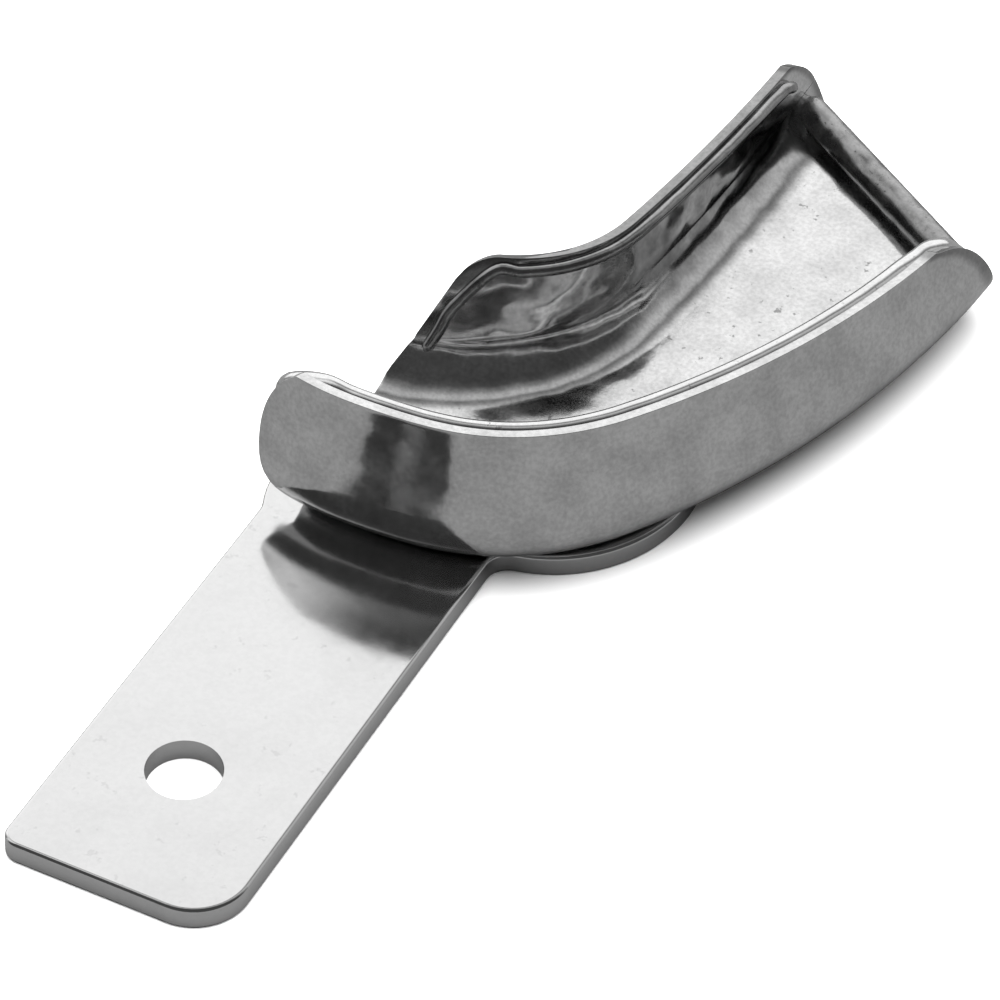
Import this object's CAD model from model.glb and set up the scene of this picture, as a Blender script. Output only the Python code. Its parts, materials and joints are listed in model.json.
import bpy
import json
from math import sin, cos, tan, asin, atan2, pi, radians, sqrt, hypot, exp
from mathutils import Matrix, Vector

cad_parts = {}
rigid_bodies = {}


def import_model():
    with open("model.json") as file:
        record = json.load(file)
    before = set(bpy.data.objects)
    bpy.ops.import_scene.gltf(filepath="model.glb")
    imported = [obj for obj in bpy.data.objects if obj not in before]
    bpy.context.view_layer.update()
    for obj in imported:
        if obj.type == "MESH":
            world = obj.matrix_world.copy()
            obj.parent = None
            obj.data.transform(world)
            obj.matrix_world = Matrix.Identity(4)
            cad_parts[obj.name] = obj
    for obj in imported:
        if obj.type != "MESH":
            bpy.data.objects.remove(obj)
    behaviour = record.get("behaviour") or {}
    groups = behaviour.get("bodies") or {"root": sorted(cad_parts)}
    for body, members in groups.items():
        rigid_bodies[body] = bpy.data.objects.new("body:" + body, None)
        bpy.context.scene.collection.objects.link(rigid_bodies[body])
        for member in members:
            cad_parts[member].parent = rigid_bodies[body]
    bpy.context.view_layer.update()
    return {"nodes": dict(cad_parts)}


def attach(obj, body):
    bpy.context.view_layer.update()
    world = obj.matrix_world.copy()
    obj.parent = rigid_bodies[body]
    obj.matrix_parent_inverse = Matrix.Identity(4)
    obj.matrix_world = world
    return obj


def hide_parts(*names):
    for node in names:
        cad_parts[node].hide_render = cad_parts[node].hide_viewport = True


bpy.ops.object.select_all(action="SELECT")
bpy.ops.object.delete()
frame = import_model()
bpy.ops.object.select_all(action="DESELECT")
nodes = frame["nodes"]
mm = 0.001
print("frame loaded:", len(nodes), "nodes")

# high in front of the handle, a little toward +X
cameraSet = {
    "azimuth": 28.0,
    "elevation": 46.0,
    "distance": 0.9,
    "lens": 388.8,
    "sensor": 36.0,
    "clip": (0.01, 20.0),
    "aim": Vector((11.06 * mm, 34.43 * mm, 8.0 * mm)),
}


def viewDirection(azimuth, elevation):
    a = radians(azimuth)
    e = radians(elevation)
    return Vector((sin(a) * cos(e), -cos(a) * cos(e), sin(e)))


def addCamera(s):
    back = viewDirection(s["azimuth"], s["elevation"])
    place = s["aim"] + back * s["distance"]
    turn = back.to_track_quat("Z", "Y").to_euler()
    bpy.ops.object.camera_add(location=place, rotation=turn)
    camera = bpy.context.object
    camera.name = "viewCamera"
    camera.data.lens = s["lens"]
    camera.data.sensor_width = s["sensor"]
    camera.data.clip_start, camera.data.clip_end = s["clip"]
    bpy.context.scene.camera = camera


addCamera(cameraSet)

# trough: millimetres and degrees, y runs from the handle to the heel
trough = {
    "sheet": 1.0,
    "base": 2.5,                        # underside of the floor
    "bend": 4.0,                        # outside radius of the outer bend, foot of the inner one
    "lean": (19.0, 11.0),               # outer flange leans in: at the bend, at the rim
    "outerY": 53.8,                     # centre of its front arc
    "outerRadius": 26.0,
    "outerTurn": 57.0,                  # where the front arc passes into the side arc
    "outerSide": 82.4,                  # radius of the side arc
    "frontFlat": (0.75, 6.2, 3.0),      # flatter over the handle: depth, spread, place
    "innerTurn": 82.0,
    "innerSide": 200.0,
    "foot": (-10.15, 65.85, 18.9),      # inner front arc at the base: x, y, radius
    "upper": (-5.35, 66.95, 12.2),      # the same arc at upperZ
    "upperZ": 12.5,
    "outerRim": (27.8, 17.0, 71.0, 13.4),     # y and height in front, y and height behind
    "innerRim": (54.75, 12.8, 71.0, 11.7),
    "ear": (8.17, 10.25),               # round left end: radius, centre height
    "leftEnd": -6.3,
    "innerEndLean": 4.0,                # how far the inner flange's left end leans in
    "innerCorner": 2.2,                 # round corner at the top of that end
    "heel": (20.7, 87.6, -29.7),        # a spot on the heel line and the line's turn
    "outerFall": (7.0, 4.0, 13.1, 1.9),       # heel end: length, low, high, bulge
    "innerFall": (7.0, 4.0, 11.3, 2.0),
    "leastWall": 0.3,                   # the inner flange stands at least this far above its bend
    "leastRoot": 0.01,                  # keeps a square root real
    "firstRise": (8, 6),                # first guess at the height: outer flange, inner flange
    "passes": 8,                        # how often a rim's height is worked out again
    "along": 220,
    "wallRows": 22,
    "bendRows": 10,
    "floorRows": 16,
    "edge": (0.46, 5, 50),              # rounded edges: width, steps, least angle
    "smoothAngle": 40,
}


def heelTurn(centreX, centreY, radius, back):
    # where a side arc meets the line `back` mm in front of the heel
    hx, hy, turn = trough["heel"]
    a = radians(turn)
    nx, ny = -sin(a), cos(a)
    d = (hx - centreX) * nx + (hy - centreY) * ny - back
    return atan2(ny, nx) + asin(max(-1, min(1, d / radius)))


def archSpot(share, start, change, centreX, centreY, radius, side, back):
    # even steps along a front arc followed by a side arc
    slide = side - radius
    sx = centreX - slide * sin(change)
    sy = centreY + slide * cos(change)
    end = heelTurn(sx, sy, side, back)
    front = radius * (change - start)
    total = front + side * (end - change)
    s = share * total
    if s <= front:
        t = start + s / radius
        return centreX + radius * sin(t), centreY - radius * cos(t), t
    t = change + (s - front) / side
    return sx + side * sin(t), sy - side * cos(t), t


def fallBack(z, fall):
    # how far in front of the heel line a flange ends at height z
    length, low, high, bulge = fall
    if z <= low:
        return 0.0
    chord = hypot(length, high - low)
    radius = chord * chord / (8 * bulge) + bulge / 2
    away = radius - bulge
    cx = length / 2 + away * (high - low) / chord
    cz = (high + low) / 2 - away * length / chord
    return min(length, max(0.0, cx - sqrt(max(radius ** 2 - (min(z, high) - cz) ** 2, 0))))


def rimLine(y, rim):
    y0, z0, y1, z1 = rim
    return z0 + (z1 - z0) * (y - y0) / (y1 - y0)


def outerSpot(share, inset, z):
    earRadius, earZ = trough["ear"]
    floorTop = trough["base"] + trough["sheet"]
    centre = trough["leftEnd"] + sqrt(earRadius ** 2 - (earZ - floorTop) ** 2)
    x = centre - sqrt(max(earRadius ** 2 - (z - earZ) ** 2, trough["leastRoot"]))
    if z < floorTop:
        x = trough["leftEnd"]
    radius = trough["outerRadius"] - inset
    start = asin(x / radius)
    x, y, t = archSpot(share, start, radians(trough["outerTurn"]), 0, trough["outerY"], radius,
                       trough["outerSide"] - inset, fallBack(z, trough["outerFall"]))
    depth, spread, turn = trough["frontFlat"]
    run = trough["outerRadius"] * (t - radians(turn))
    dip = depth * exp(-run * run / (2 * spread * spread))
    return x - dip * sin(t), y + dip * cos(t), t


def innerSpot(share, reach, z, lift):
    # `reach` is how far toward the channel, `lift` picks the level whose arc is followed
    k = (lift - trough["base"]) / (trough["upperZ"] - trough["base"])
    fx, fy, fr = trough["foot"]
    ux, uy, ur = trough["upper"]
    cx, cy, r = fx + (ux - fx) * k, fy + (uy - fy) * k, fr + (ur - fr) * k
    top = trough["innerRim"][1]
    floorTop = trough["base"] + trough["sheet"]
    x = trough["leftEnd"] + trough["innerEndLean"] * max(0, z - floorTop) / (top - floorTop)
    start = asin(max(-1, (x - cx) / (r + reach)))
    return archSpot(share, start, radians(trough["innerTurn"]), cx, cy, r + reach,
                    trough["innerSide"] + reach, fallBack(z, trough["innerFall"]))


def innerSlope(turn):
    # how far the inner flange runs back for each mm of height
    fx, fy, fr = trough["foot"]
    ux, uy, ur = trough["upper"]
    rise = trough["upperZ"] - trough["base"]
    return -(((ux - fx) * sin(turn) - (uy - fy) * cos(turn)) + ur - fr) / rise


def wallLow():
    return trough["base"] + trough["bend"] * (1 + sin(radians(trough["lean"][0])))


def wallInset(z):
    # the lean eases off toward the rim
    first, last = [radians(a) for a in trough["lean"]]
    up = max(0, z - wallLow())
    reach = trough["outerRim"][1] - wallLow()
    ease = up * tan(first) + (tan(last) - tan(first)) * up * up / (2 * reach)
    return trough["bend"] * (1 - cos(first)) + ease


def outerWall(share, w):
    low = wallLow()
    z = low + w * trough["firstRise"][0]
    for step in range(trough["passes"]):
        x, y = outerSpot(share, wallInset(z), z)[:2]
        z = low + (rimLine(y, trough["outerRim"]) - low) * w
    return x, y, z


def outerBend(share, w):
    lean = radians(trough["lean"][0])
    bend = trough["bend"]
    angle = lean + (-pi / 2 - lean) * w
    z = trough["base"] + bend + bend * sin(angle)
    x, y = outerSpot(share, bend * (1 - cos(angle)), z)[:2]
    return x, y, z


def innerBend(share, w):
    t = innerSpot(share, 0, trough["base"], trough["base"])[2]
    beta = atan2(innerSlope(t), 1)
    foot = trough["bend"]
    radius = foot / tan((pi / 2 - beta) / 2)
    angle = (pi / 2 - beta) * w
    z = trough["base"] + radius * (1 - cos(angle))
    reach = foot - radius * sin(angle)
    x, y = innerSpot(share, reach, z, trough["base"])[:2]
    return x, y, z


def innerWall(share, w):
    low = innerBend(share, 1.0)[2]
    z = low + w * trough["firstRise"][1]
    corner = trough["innerCorner"]
    for step in range(trough["passes"]):
        x, y = innerSpot(share, 0, z, z)[:2]
        sx, sy = innerSpot(0, 0, z, z)[:2]
        top = rimLine(y, trough["innerRim"])
        d = hypot(x - sx, y - sy)
        if d < corner:
            top = top - corner + sqrt(corner ** 2 - (corner - d) ** 2)
        z = low + (max(top, low + trough["leastWall"]) - low) * w
    return x, y, z


def troughSpot(share, row):
    # rows go down the outer flange, over the floor and up the inner flange
    walls, bends, floors = trough["wallRows"], trough["bendRows"], trough["floorRows"]
    if row <= walls:
        return outerWall(share, 1 - row / walls)
    row -= walls
    if row <= bends:
        return outerBend(share, row / bends)
    row -= bends
    if row <= floors:
        a = outerBend(share, 1.0)
        b = innerBend(share, 0.0)
        k = row / floors
        return a[0] + (b[0] - a[0]) * k, a[1] + (b[1] - a[1]) * k, trough["base"]
    row -= floors
    if row <= bends:
        return innerBend(share, row / bends)
    row -= bends
    return innerWall(share, row / walls)


def applyModifiers(o):
    bpy.context.view_layer.objects.active = o
    for m in list(o.modifiers):
        bpy.ops.object.modifier_apply(modifier=m.name)


def addTrough():
    bpy.ops.object.select_all(action="DESELECT")
    rows = 2 * trough["wallRows"] + 2 * trough["bendRows"] + trough["floorRows"]
    along = trough["along"]
    bpy.ops.mesh.primitive_grid_add(x_subdivisions=along, y_subdivisions=rows, size=2, location=(0, 0, 0))
    o = bpy.context.object
    o.name = "trough"
    for v in o.data.vertices:
        share = (v.co.x + 1) / 2
        row = round((v.co.y + 1) / 2 * rows)
        x, y, z = troughSpot(share, row)
        v.co = Vector((x, y, z)) * mm
    thick = o.modifiers.new("thick", "SOLIDIFY")
    thick.thickness = trough["sheet"] * mm
    thick.offset = 1.0
    thick.use_even_offset = True
    thick.use_quality_normals = True
    width, steps, least = trough["edge"]
    soft = o.modifiers.new("soft", "BEVEL")
    soft.width = width * mm
    soft.segments = steps
    soft.limit_method = "ANGLE"
    soft.angle_limit = radians(least)
    applyModifiers(o)
    bpy.ops.object.mode_set(mode="EDIT")
    bpy.ops.mesh.select_all(action="SELECT")
    bpy.ops.mesh.normals_make_consistent(inside=False)
    bpy.ops.object.mode_set(mode="OBJECT")
    bpy.ops.object.shade_smooth_by_angle(angle=radians(trough["smoothAngle"]))
    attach(o, "root")
    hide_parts("tray_body")
    return o


# round wires, millimetres; a share is a place along the trough, 0 at its left end
wires = {
    "bite": 0.15,                       # how deep a wire sits in the sheet
    "steps": 150,                       # points along a rim wire
    "rings": 5,                         # roundness of the tube
    "leastTip": 0.02,                   # keeps the tip from closing to a point
    "weld": 0.00001,                    # metres
    "curveSteps": 24,                   # between two given points, before they are evened out
}
outerWire = {
    "radius": 0.9,
    "rise": (0.015, (6.2, 8.2, 10.2, 12.2, 14.0)),     # up the ear: share, heights
    "shares": [0.05, 0.09] + [0.14 + 0.06 * i for i in range(13)] + [0.9, 0.93, 0.95, 0.966],
    "dip": (0.93, 8),                   # from this share on it sinks, and how fast
    "start": 14.0,
    "drop": (0.975, (11.0, 9.4, 8.0)),  # down the heel end: share, heights
}
innerWire = {
    "radius": 0.55,
    "rise": (0.03, (5.8, 7.6, 9.4)),
    "shares": [0.07, 0.13] + [0.2 + 0.06 * i for i in range(12)] + [0.9, 0.935, 0.955],
    "dip": (0.92, 8),
    "start": 11.0,
    "drop": (0.965, (9.0,)),
}
heelWire = {
    "radius": 1.45,
    "from": -11.1,                      # along the heel line, from its spot
    "length": 25.3,
    "steps": 60,
}


def wireObject(name, path, radius, node):
    # a tube with round ends along the path
    bpy.ops.object.select_all(action="DESELECT")
    bpy.ops.curve.primitive_bezier_curve_add(location=(0, 0, 0))
    o = bpy.context.object
    o.name = name
    curve = o.data
    curve.splines.clear()
    spline = curve.splines.new("POLY")
    spline.points.add(len(path) - 1)
    reach = [0.0]
    for a, b in zip(path, path[1:]):
        reach.append(reach[-1] + (Vector(b) - Vector(a)).length)
    for point, place, run in zip(spline.points, path, reach):
        end = min(run, reach[-1] - run)
        point.co = (place[0] * mm, place[1] * mm, place[2] * mm, 1)
        point.radius = sqrt(max(1 - (1 - min(end / radius, 1)) ** 2, wires["leastTip"]))
    curve.dimensions = "3D"
    curve.bevel_depth = radius * mm
    curve.bevel_resolution = wires["rings"]
    curve.use_fill_caps = True
    bpy.ops.object.convert(target="MESH")
    o = bpy.context.object
    bpy.ops.object.mode_set(mode="EDIT")
    bpy.ops.mesh.select_all(action="SELECT")
    bpy.ops.mesh.remove_doubles(threshold=wires["weld"])
    bpy.ops.mesh.normals_make_consistent(inside=False)
    bpy.ops.object.mode_set(mode="OBJECT")
    bpy.ops.object.shade_smooth()
    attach(o, "root")
    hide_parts(node)
    return o


def denser(points, count):
    # smooth path through the points, even steps
    pts = [Vector(p) for p in points]
    pts = [pts[0] * 2 - pts[1]] + pts + [pts[-1] * 2 - pts[-2]]
    fine = []
    for i in range(1, len(pts) - 2):
        p0, p1, p2, p3 = pts[i - 1:i + 3]
        for k in range(wires["curveSteps"]):
            t = k / wires["curveSteps"]
            fine.append(0.5 * (2 * p1 + (p2 - p0) * t + (2 * p0 - 5 * p1 + 4 * p2 - p3) * t * t
                               + (3 * p1 - p0 - 3 * p2 + p3) * t * t * t))
    fine.append(pts[-2])
    run = [0.0]
    for a, b in zip(fine, fine[1:]):
        run.append(run[-1] + (b - a).length)
    out = []
    j = 0
    for i in range(count):
        s = run[-1] * i / (count - 1)
        while j < len(run) - 2 and run[j + 1] < s:
            j += 1
        k = (s - run[j]) / max(run[j + 1] - run[j], 1e-9)
        out.append(tuple(fine[j].lerp(fine[j + 1], min(1, max(0, k)))))
    return out


def rimWirePath(s, rim, spotAt):
    # up one end of a flange, along under its rim and down the other end
    away = trough["sheet"] + s["radius"] - wires["bite"]
    points = []
    share, heights = s["rise"]
    for z in heights:
        points.append(spotAt(share, away, z) + (z,))
    sinkFrom, sink = s["dip"]
    for share in s["shares"]:
        z = s["start"]
        for step in range(trough["passes"]):
            x, y = spotAt(share, away, z)
            z = rimLine(y, rim) - s["radius"] * (1 + max(0, share - sinkFrom) * sink)
        points.append((x, y, z))
    share, heights = s["drop"]
    for z in heights:
        points.append(spotAt(share, away, z) + (z,))
    return denser(points, wires["steps"])


def outerWireSpot(share, away, z):
    return outerSpot(share, wallInset(z) + away, z)[:2]


def innerWireSpot(share, away, z):
    return innerSpot(share, away, z, z)[:2]


def heelWirePath(s):
    hx, hy, turn = trough["heel"]
    a = radians(turn)
    r = s["radius"]
    z = trough["base"] + trough["sheet"] + r - wires["bite"]
    along = Vector((cos(a), sin(a), 0))
    inward = Vector((sin(a), -cos(a), 0))
    middle = Vector((hx, hy, z)) + inward * r
    steps = s["steps"]
    return [tuple(middle + along * (s["from"] + s["length"] * i / steps)) for i in range(steps + 1)]


troughObject = addTrough()
print("trough made")
outerPath = rimWirePath(outerWire, trough["outerRim"], outerWireSpot)
innerPath = rimWirePath(innerWire, trough["innerRim"], innerWireSpot)
outerWireObject = wireObject("outerRimWire", outerPath, outerWire["radius"], "outer_rim_bead")
innerWireObject = wireObject("innerRimWire", innerPath, innerWire["radius"], "inner_rim_bead")
heelWireObject = wireObject("heelWire", heelWirePath(heelWire), heelWire["radius"], "heel_bead")
print("wires made")


def newMaterial(name):
    material = bpy.data.materials.new(name)
    material.use_nodes = True
    material.node_tree.nodes.clear()
    return material


def addNode(tree, kind, **values):
    node = tree.nodes.new(kind)
    for key, value in values.items():
        setattr(node, key, value)
    return node


def addRamp(tree, source, low, high, a=0.0, b=1.0):
    ramp = addNode(tree, "ShaderNodeMapRange")
    ramp.interpolation_type = "SMOOTHSTEP"
    ramp.inputs["From Min"].default_value = low
    ramp.inputs["From Max"].default_value = high
    ramp.inputs["To Min"].default_value = a
    ramp.inputs["To Max"].default_value = b
    tree.links.new(source, ramp.inputs["Value"])
    return ramp.outputs[0]


def addMath(tree, kind, a, b):
    node = addNode(tree, "ShaderNodeMath", operation=kind)
    for i, v in enumerate((a, b)):
        if isinstance(v, (int, float)):
            node.inputs[i].default_value = v
        else:
            tree.links.new(v, node.inputs[i])
    return node.outputs[0]


def addGrey(tree, value):
    # one value as a grey colour
    colour = addNode(tree, "ShaderNodeCombineColor")
    for channel in ("Red", "Green", "Blue"):
        tree.links.new(value, colour.inputs[channel])
    return colour.outputs[0]


# marks of polishing: scale, detail and roughness of each noise
wearNoise = {
    "Haze": (260, 5, 0.62),
    "Specks": (900, 3, 0.7),
    "Grain": (2600, 2, 0.5),
    "Waves": (150, 1.5, 0.5),
}
speckRange = (0.63, 0.7)                # only the noise's peaks are specks


def wearGroup():
    tree = bpy.data.node_groups.new("polishWear", "ShaderNodeTree")
    face = tree.interface
    scale = face.new_socket("Scale", in_out="INPUT", socket_type="NodeSocketFloat")
    scale.default_value = 1.0
    for name in wearNoise:
        face.new_socket(name, in_out="OUTPUT", socket_type="NodeSocketFloat")
    start = addNode(tree, "NodeGroupInput")
    end = addNode(tree, "NodeGroupOutput")
    spot = addNode(tree, "ShaderNodeTexCoord")
    size = addNode(tree, "ShaderNodeVectorMath", operation="SCALE")
    tree.links.new(spot.outputs["Object"], size.inputs[0])
    tree.links.new(start.outputs["Scale"], size.inputs["Scale"])
    for name, (fineness, detail, roughness) in wearNoise.items():
        noise = addNode(tree, "ShaderNodeTexNoise")
        noise.inputs["Scale"].default_value = fineness
        noise.inputs["Detail"].default_value = detail
        noise.inputs["Roughness"].default_value = roughness
        tree.links.new(size.outputs[0], noise.inputs["Vector"])
        mask = noise.outputs["Fac"]
        if name == "Specks":
            mask = addRamp(tree, mask, *speckRange)
        tree.links.new(mask, end.inputs[name])
    return tree


wear = wearGroup()

# where on the trough's map a finish changes: Y is across from the outer rim, X toward the heel
troughMap = {
    "floorStarts": (0.38, 0.42),
    "floorEnds": (0.58, 0.64),
    "innerFlange": (0.62, 0.8),
    "innerEdge": (0.955, 0.99),
    "heelEdge": (0.975, 0.992),
}
hazeTone = (0.3, 0.7)
hazeRough = (0.35, 0.75)
roughRise = 1.7                         # hazy spots are this much rougher
speckRough = 0.25
grainTone = (0.25, 0.75)
bumpHeight = 0.001


def steel(name, s):
    material = newMaterial(name)
    tree = material.node_tree
    shader = addNode(tree, "ShaderNodeBsdfPrincipled")
    out = addNode(tree, "ShaderNodeOutputMaterial")
    shader.inputs["Metallic"].default_value = 1
    marks = addNode(tree, "ShaderNodeGroup", node_tree=wear)
    marks.inputs["Scale"].default_value = s["scale"]
    base = s["base"]
    tone = addRamp(tree, marks.outputs["Haze"], *hazeTone,
                   base * (1 - s["mottle"]), base * (1 + s["mottle"]))
    spread = addNode(tree, "ShaderNodeUVMap")
    across = addNode(tree, "ShaderNodeSeparateXYZ")
    tree.links.new(spread.outputs[0], across.inputs[0])
    onFloor = addMath(tree, "MULTIPLY", addRamp(tree, across.outputs["Y"], *troughMap["floorStarts"]),
                      addRamp(tree, across.outputs["Y"], *troughMap["floorEnds"], 1, 0))
    dotted = addMath(tree, "ADD", addMath(tree, "MULTIPLY", onFloor, s.get("floorSpecks", 0)), s["specks"])
    speckled = addMath(tree, "MULTIPLY", marks.outputs["Specks"], dotted)
    keep = addMath(tree, "SUBTRACT", 1.0, speckled)
    grain = addRamp(tree, marks.outputs["Grain"], *grainTone, 1 - s["grain"], 1 + s["grain"])
    dull = 1 - s.get("edgeDark", 0)
    innerEdge = addRamp(tree, across.outputs["Y"], *troughMap["innerEdge"], 1, dull)
    heelEdge = addRamp(tree, across.outputs["X"], *troughMap["heelEdge"], 1, dull)
    dulled = addMath(tree, "MULTIPLY", innerEdge, heelEdge)
    value = addMath(tree, "MULTIPLY", addMath(tree, "MULTIPLY", tone, keep),
                    addMath(tree, "MULTIPLY", grain, dulled))
    tree.links.new(addGrey(tree, value), shader.inputs["Base Color"])
    rough = addRamp(tree, marks.outputs["Haze"], *hazeRough, s["roughness"], s["roughness"] * roughRise)
    speckBite = addMath(tree, "MULTIPLY", marks.outputs["Specks"], speckRough * s["specks"])
    tree.links.new(addMath(tree, "ADD", rough, speckBite), shader.inputs["Roughness"])
    lumps = addRamp(tree, across.outputs["Y"], *troughMap["innerFlange"],
                    s["waves"], s["waves"] + s.get("innerWaves", 0))
    height = addMath(tree, "ADD", addMath(tree, "MULTIPLY", marks.outputs["Waves"], lumps),
                     addMath(tree, "MULTIPLY", marks.outputs["Grain"], s["bite"]))
    bump = addNode(tree, "ShaderNodeBump")
    bump.inputs["Strength"].default_value = 1.0
    bump.inputs["Distance"].default_value = bumpHeight
    tree.links.new(height, bump.inputs["Height"])
    tree.links.new(bump.outputs[0], shader.inputs["Normal"])
    tree.links.new(shader.outputs[0], out.inputs[0])
    return material


# base is the mean tone; mottle, specks and grain vary it; waves and bite are the bumps
troughSteel = steel("troughSteel", {"base": 0.57, "mottle": 0.12, "specks": 0.08, "floorSpecks": 0.45,
                                    "edgeDark": 0.5, "grain": 0.1, "roughness": 0.1, "waves": 0.2,
                                    "innerWaves": 0.65, "bite": 0.002, "scale": 1.0})
beadSteel = steel("beadSteel", {"base": 0.66, "mottle": 0.06, "specks": 0.4, "grain": 0.06,
                                "roughness": 0.11, "waves": 0.15, "bite": 0.002, "scale": 1.3})
innerWireSteel = steel("innerWireSteel", {"base": 0.3, "mottle": 0.2, "specks": 0.4, "grain": 0.08,
                                          "roughness": 0.16, "waves": 0.4, "bite": 0.003, "scale": 1.4})
heelSteel = steel("heelSteel", {"base": 0.3, "mottle": 0.3, "specks": 0.5, "grain": 0.1,
                                "roughness": 0.24, "waves": 0.6, "bite": 0.004, "scale": 1.6})
handleSteel = steel("handleSteel", {"base": 0.62, "mottle": 0.02, "specks": 0.08, "grain": 0.02,
                                    "roughness": 0.1, "waves": 0.05, "bite": 0.001, "scale": 0.8})
solderSteel = steel("solderGrey", {"base": 0.4, "mottle": 0.2, "specks": 0.5, "grain": 0.1,
                                   "roughness": 0.35, "waves": 0.1, "bite": 0.01, "scale": 1.5})


def dress(o, material):
    o.data.materials.clear()
    o.data.materials.append(material)


dress(troughObject, troughSteel)
dress(outerWireObject, beadSteel)
dress(innerWireObject, innerWireSteel)
dress(heelWireObject, heelSteel)
dress(nodes["tray_body"], troughSteel)
for name in ("outer_rim_bead", "inner_rim_bead", "heel_bead"):
    dress(nodes[name], beadSteel)
dress(nodes["handle_plate"], handleSteel)
dress(nodes["solder_layer"], solderSteel)
print("materials made")

floorSet = {
    "size": 6,                          # metres
    "seen": 0.92,
    "mirrored": 0.18,                   # darker in the steel than to the eye
}


def addDiffuse(tree, tone):
    node = addNode(tree, "ShaderNodeBsdfDiffuse")
    node.inputs["Color"].default_value = (tone, tone, tone, 1)
    return node.outputs[0]


def addFloor(s):
    bpy.ops.mesh.primitive_plane_add(size=s["size"], location=(0, 0, 0))
    floor = bpy.context.object
    floor.name = "floor"
    material = newMaterial("floorPaper")
    tree = material.node_tree
    mix = addNode(tree, "ShaderNodeMixShader")
    path = addNode(tree, "ShaderNodeLightPath")
    out = addNode(tree, "ShaderNodeOutputMaterial")
    tree.links.new(path.outputs["Is Camera Ray"], mix.inputs[0])
    tree.links.new(addDiffuse(tree, s["mirrored"]), mix.inputs[1])
    tree.links.new(addDiffuse(tree, s["seen"]), mix.inputs[2])
    tree.links.new(mix.outputs[0], out.inputs[0])
    floor.data.materials.append(material)


softboxSet = {
    "place": (0.1, 0.05, 1.2),          # metres
    "size": 1.6,
    "energy": 40.0,
}


def addSoftbox(s):
    bpy.ops.object.light_add(type="AREA", location=s["place"], rotation=(0, 0, 0))
    lamp = bpy.context.object
    lamp.name = "overheadSoftbox"
    lamp.data.shape = "DISK"
    lamp.data.size = s["size"]
    lamp.data.energy = s["energy"]
    lamp.visible_glossy = False
    lamp.visible_camera = False


# the room is pale ahead of the camera and dim behind it
roomSet = {
    "strength": 1.4,
    "bands": (                          # place from behind the camera to ahead, tone
        (0.0, 0.06), (0.84, 1.0), (0.36, 0.05), (0.45, 0.07), (0.53, 0.22), (0.6, 0.45),
        (0.66, 0.5), (0.71, 0.16), (0.76, 0.3),
    ),
    "window": (-0.55, 0.35, 0.76),      # direction: right of the camera, ahead, up
    "windowEdge": (0.9, 0.965),
    "windowTone": 0.35,
}


def addRoom(s):
    world = bpy.data.worlds.new("room")
    bpy.context.scene.world = world
    world.use_nodes = True
    tree = world.node_tree
    tree.nodes.clear()
    spot = addNode(tree, "ShaderNodeTexCoord")
    split = addNode(tree, "ShaderNodeSeparateXYZ")
    ramp = addNode(tree, "ShaderNodeValToRGB")
    back = addNode(tree, "ShaderNodeBackground")
    out = addNode(tree, "ShaderNodeOutputWorld")
    turn = addNode(tree, "ShaderNodeVectorRotate", rotation_type="Z_AXIS")
    turn.inputs["Angle"].default_value = -radians(cameraSet["azimuth"])
    tree.links.new(spot.outputs["Generated"], turn.inputs["Vector"])
    tree.links.new(turn.outputs[0], split.inputs[0])
    shift = addNode(tree, "ShaderNodeMapRange")
    shift.inputs["From Min"].default_value = -1
    shift.inputs["From Max"].default_value = 1
    tree.links.new(split.outputs["Y"], shift.inputs["Value"])
    tree.links.new(shift.outputs[0], ramp.inputs[0])
    bands = ramp.color_ramp.elements
    for i, (place, tone) in enumerate(s["bands"]):
        if i < 2:                       # a new ramp has two elements
            bands[i].position = place
            bands[i].color = (tone, tone, tone, 1)
        else:
            bands.new(place).color = (tone, tone, tone, 1)
    back.inputs["Strength"].default_value = s["strength"]
    lobe = addNode(tree, "ShaderNodeVectorMath", operation="DOT_PRODUCT")
    lobe.inputs[1].default_value = Vector(s["window"]).normalized()
    tree.links.new(turn.outputs[0], lobe.inputs[0])
    window = addRamp(tree, lobe.outputs["Value"], *s["windowEdge"], 0, s["windowTone"])
    glow = addNode(tree, "ShaderNodeMix", data_type="RGBA", blend_type="ADD")
    glow.inputs["Factor"].default_value = 1.0
    tree.links.new(ramp.outputs[0], glow.inputs[6])             # colour A
    tree.links.new(addGrey(tree, window), glow.inputs[7])       # colour B
    tree.links.new(glow.outputs[2], back.inputs["Color"])
    tree.links.new(back.outputs[0], out.inputs[0])


addFloor(floorSet)
addSoftbox(softboxSet)
addRoom(roomSet)
bpy.context.scene.view_settings.view_transform = "Standard"
bpy.context.scene.view_settings.look = "None"
print("stage made")
